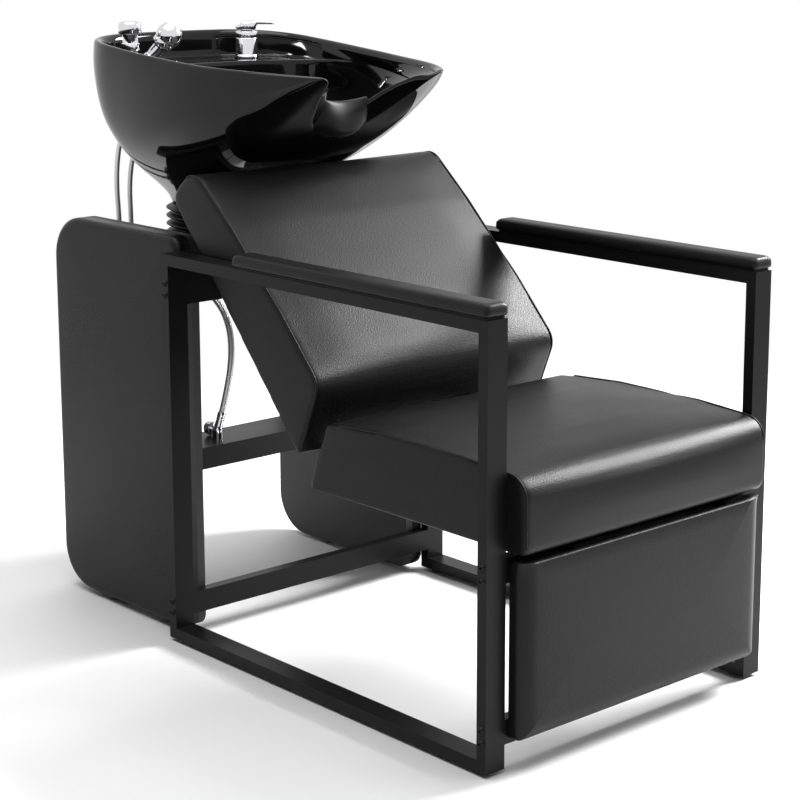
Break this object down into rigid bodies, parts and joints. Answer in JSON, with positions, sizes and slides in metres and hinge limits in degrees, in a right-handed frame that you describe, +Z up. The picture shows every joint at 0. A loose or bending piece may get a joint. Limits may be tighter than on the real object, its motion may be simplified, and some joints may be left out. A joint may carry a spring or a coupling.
{
  "type": "salon backwash unit",
  "caption": "Black padded salon chair with a hinged leg rest and a tilting wash basin with mixer and hand shower behind it.",
  "frame": {"origin": "centre of the bounding box at floor level", "axes": "+Z up, +Y from the leg rest towards the basin, +X to the sitter's left"},
  "size_m": [0.658, 1.2871, 1.0802],
  "materials": {
    "powder_black": "satin powder coat",
    "leather_black": "pebbled, soft sheen",
    "board": "painted board",
    "basin_black": "high gloss",
    "rubber_black": "satin",
    "plastic_black": "matte",
    "chrome": "mirror polish",
    "braid": "braided wire",
    "zinc_steel": "plain",
    "brass": "turned"
  },
  "bodies": {
    "base": {"leg_front_left": "powder_black", "leg_front_right": "powder_black", "leg_rear_left": "powder_black", "leg_rear_right": "powder_black", "arm_rail_left": "powder_black", "arm_rail_right": "powder_black", "floor_rail_left": "powder_black", "floor_rail_right": "powder_black", "cross_tube_seat": "powder_black", "cross_tube_front_low": "powder_black", "cross_tube_rear_low": "powder_black", "cross_tube_rear_high": "powder_black", "frame_bolts": "powder_black", "plumbing_beam": "powder_black", "basin_carrier": "powder_black", "arm_plate_left": "powder_black", "arm_plate_right": "powder_black", "seat_brackets": "powder_black", "back_stays": "powder_black", "leg_rest_hinges": "powder_black", "tilt_base": "powder_black", "panel_pad_left": "leather_black", "panel_pad_right": "leather_black", "arm_pad_left": "leather_black", "arm_pad_right": "leather_black", "seat_cushion": "leather_black", "back_cushion": "leather_black", "panel_board_left": "board", "panel_board_right": "board", "seat_board": "board", "back_board": "board", "bellows": "rubber_black", "frame_feet": "plastic_black", "panel_feet": "plastic_black", "stop_valves": "chrome", "breaker_hose": "braid", "shower_hose": "braid", "mixer_hose": "braid", "supply_hose": "braid", "tilt_pins": "zinc_steel", "manifold": "brass"},
    "leg_rest": {"leg_rest_pad": "leather_black", "leg_rest_board": "board", "leg_rest_pins": "zinc_steel"},
    "basin_unit": {"basin": "basin_black", "neck_rest": "rubber_black", "collar": "basin_black", "tilt_saddle": "powder_black", "drain_flange": "chrome", "drain_tail": "plastic_black", "mixer_body": "chrome", "shower_holder": "chrome", "breaker_body": "chrome", "breaker_cap": "chrome"},
    "mixer_turn": {"mixer_head": "chrome"},
    "mixer_handle": {"mixer_lever": "chrome"},
    "hand_shower_unit": {"hand_shower": "chrome", "shower_face": "plastic_black"},
    "strainer": {"hair_strainer": "chrome"}
  },
  "joints": [
    {"name": "basin_tilt", "type": "hinge", "parent": "base", "child": "basin_unit", "pos_m": [0, 0.45325, 0.722], "axis": [-1, 0, 0], "range_deg": [0, 12], "deforming": ["bellows", "breaker_hose", "shower_hose", "mixer_hose"]},
    {"name": "leg_rest_swing", "type": "hinge", "parent": "base", "child": "leg_rest", "pos_m": [0, -0.62575, 0.32], "axis": [-1, 0, 0], "range_deg": [0, 80]},
    {"name": "mixer_swivel", "type": "hinge", "parent": "basin_unit", "child": "mixer_turn", "pos_m": [0.134, 0.56125, 1.046], "axis": [0, 0, 1], "range_deg": [-45, 45]},
    {"name": "mixer_lift", "type": "hinge", "parent": "mixer_turn", "child": "mixer_handle", "pos_m": [0.12551, 0.56973, 1.0624], "axis": [-0.7071, -0.7071, 0], "range_deg": [0, 20]},
    {"name": "shower_lift", "type": "slide", "parent": "basin_unit", "child": "hand_shower_unit", "axis": [0.4823, -0.4244, 0.7663], "range_m": [0, 0.25]},
    {"name": "strainer_lift", "type": "slide", "parent": "basin_unit", "child": "strainer", "axis": [0, 0, 1], "range_m": [0, 0.15]}
  ]
}
